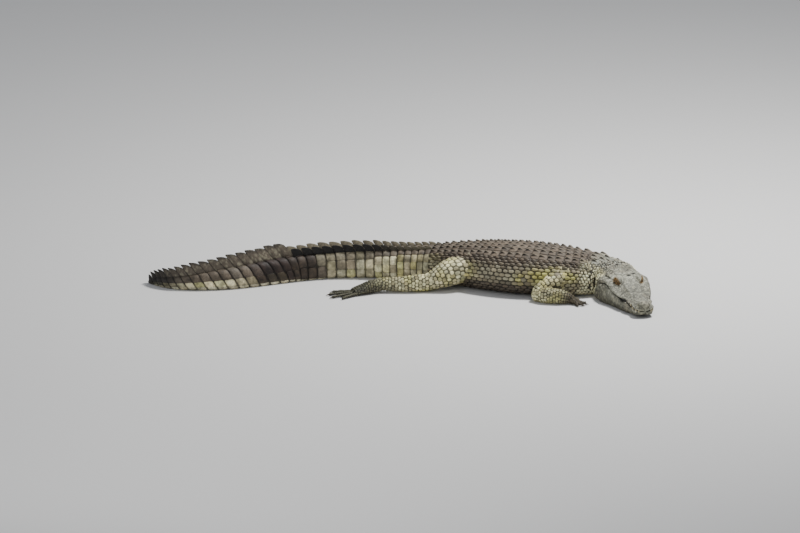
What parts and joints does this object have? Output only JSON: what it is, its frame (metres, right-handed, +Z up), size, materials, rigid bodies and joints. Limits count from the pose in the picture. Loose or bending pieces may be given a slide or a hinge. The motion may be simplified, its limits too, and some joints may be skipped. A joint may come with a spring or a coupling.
{
  "type": "nile crocodile model",
  "caption": "Life-size still model of a young adult Nile crocodile lying flat on its belly, tail curved behind and head turned to its right with the mouth closed.",
  "frame": {"origin": "middle of the bounding box on the ground", "axes": "+Z up; +X along the longest extent, from the tail tip towards the head; the animal's right faces -Y"},
  "size_m": [2.0509, 1.0598, 0.1817],
  "materials": {
    "hide": "matt scaly hide in grey-olive and cream-yellow, keeled along the back",
    "head": "tight crackled grey-olive skin over bone, with ivory teeth along the lip",
    "tail": "rings of rectangular scales in dark grey-brown and cream, with leaf-shaped crest scales",
    "limb": "small overlapping yellow-green and grey scales",
    "claw": "dull dark horn",
    "eye": "wet golden-brown iris with an upright slit pupil",
    "tooth": "ivory, a little stained at the gum"
  },
  "bodies": {
    "root": {"tail_tip": "tail", "tail_middle": "tail", "tail_base": "tail", "trunk": "hide", "neck": "hide", "head": "head", "lower_jaw": "head", "eye_left": "eye", "eye_right": "eye", "upper_arm_left": "limb", "forearm_left": "limb", "hand_left": "limb", "hand_claw_left_1": "claw", "hand_claw_left_2": "claw", "hand_claw_left_3": "claw", "thigh_left": "limb", "shank_left": "limb", "foot_left": "limb", "foot_claw_left_1": "claw", "foot_claw_left_2": "claw", "foot_claw_left_3": "claw", "upper_arm_right": "limb", "forearm_right": "limb", "hand_right": "limb", "hand_claw_right_1": "claw", "hand_claw_right_2": "claw", "hand_claw_right_3": "claw", "thigh_right": "limb", "shank_right": "limb", "foot_right": "limb", "foot_claw_right_1": "claw", "foot_claw_right_2": "claw", "foot_claw_right_3": "claw"}
  },
  "joints": []
}
